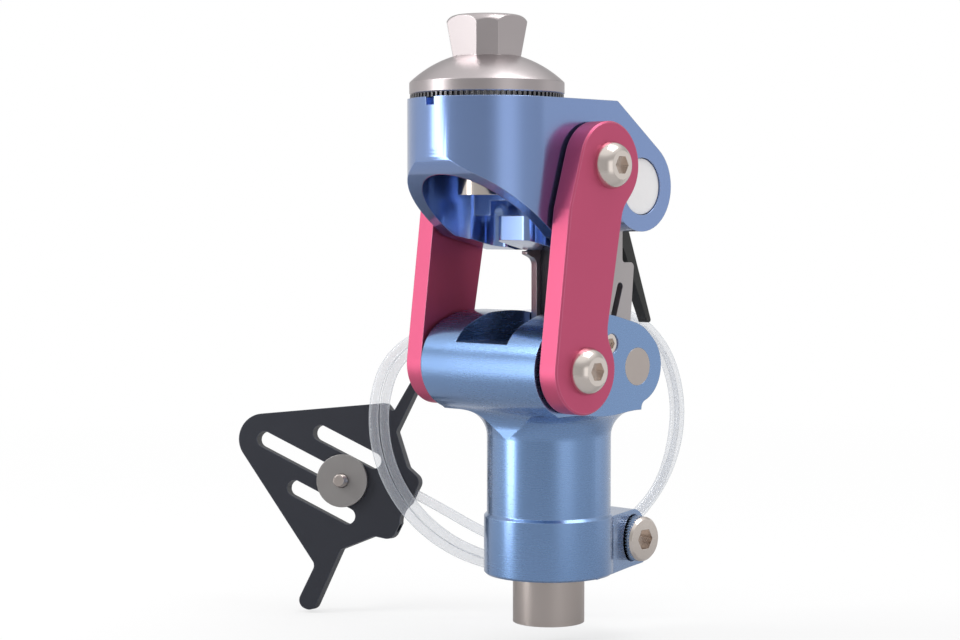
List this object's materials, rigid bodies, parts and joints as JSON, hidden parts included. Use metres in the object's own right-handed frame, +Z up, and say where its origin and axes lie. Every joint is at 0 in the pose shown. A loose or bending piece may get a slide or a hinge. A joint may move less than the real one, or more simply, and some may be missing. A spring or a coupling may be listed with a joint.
{
  "type": "prosthetic knee joint",
  "caption": "Four-bar prosthetic knee with a pyramid head, a pylon tube clamp, side links, a lock lever and a clear cable tube to a slotted cable plate.",
  "frame": {"origin": "centre of the pylon tube's lower end face", "axes": "+Z up along the pylon, +Y to the back of the leg, +X to the side of the clamp screw's head"},
  "size_m": [0.1576, 0.1186, 0.1913],
  "materials": {
    "blue_anodised": "satin blue anodised",
    "pink_anodised": "matt pink anodised",
    "polished_steel": "polished",
    "turned_steel": "fine turned",
    "plate_steel": "satin",
    "black_anodised": "matt black anodised",
    "black_plastic": "moulded",
    "grey_aluminium": "turned",
    "bronze": "plain bearing",
    "bumper_rubber": "moulded",
    "clear_tube": "clear extruded"
  },
  "bodies": {
    "lower_frame": {"lower_frame": "blue_anodised", "pylon_stub": "turned_steel", "clamp_screw": "polished_steel", "side_screws": "polished_steel", "lower_front_bushes": "bronze", "lower_rear_axle_ends": "turned_steel", "tube_ferrule": "grey_aluminium", "tube_coil": "clear_tube", "tube_lead": "clear_tube", "tube_tail": "clear_tube", "cable_plate": "black_anodised"},
    "front_links": {"right_link": "pink_anodised", "left_link": "pink_anodised", "link_screws": "polished_steel", "link_washers": "black_plastic", "lower_front_axle": "turned_steel", "upper_front_axle": "turned_steel"},
    "upper_frame": {"upper_frame": "blue_anodised", "upper_front_bushes": "bronze", "pyramid_adapter": "polished_steel", "serrated_ring": "polished_steel", "pyramid_nut": "polished_steel", "upper_rear_axle": "turned_steel", "axle_caps": "turned_steel", "extension_bumper": "bumper_rubber"},
    "rear_link": {"rear_plate_right": "plate_steel", "rear_plate_left": "plate_steel", "link_core": "black_anodised", "rear_bush": "bronze", "lower_rear_sleeve": "turned_steel", "link_rivets": "turned_steel", "lever_pin": "turned_steel"},
    "release_lever": {"release_lever": "black_plastic"},
    "cable_knob": {"cable_knob": "grey_aluminium", "knob_stud": "turned_steel"}
  },
  "joints": [
    {"name": "front_link_swing", "type": "hinge", "parent": "lower_frame", "child": "front_links", "pos_m": [0, -0.0179, 0.0794], "axis": [1, 0, 0], "range_deg": [0, 6.4]},
    {"name": "knee_flexion", "type": "hinge", "parent": "front_links", "child": "upper_frame", "pos_m": [0, -0.0074, 0.1391], "axis": [-1, 0, 0], "range_deg": [0, 106.37]},
    {"name": "rear_link_swing", "type": "hinge", "parent": "upper_frame", "child": "rear_link", "pos_m": [0, 0.0159, 0.1333], "axis": [1, 0, 0], "range_deg": [0, 146]},
    {"name": "lever_release", "type": "hinge", "parent": "rear_link", "child": "release_lever", "pos_m": [0, 0.0176, 0.1126], "axis": [1, 0, 0], "range_deg": [0, 10], "stiffness_Nm_per_rad": 0.05},
    {"name": "cable_pull", "type": "slide", "parent": "lower_frame", "child": "cable_knob", "axis": [-0.8017, -0.4249, 0.4204], "range_m": [0, 0.025]}
  ],
  "couplings": [
    {"joint": "front_link_swing", "follows": "knee_flexion", "ratio": 0.059912},
    {"joint": "rear_link_swing", "follows": "knee_flexion", "ratio": 1.3725}
  ]
}
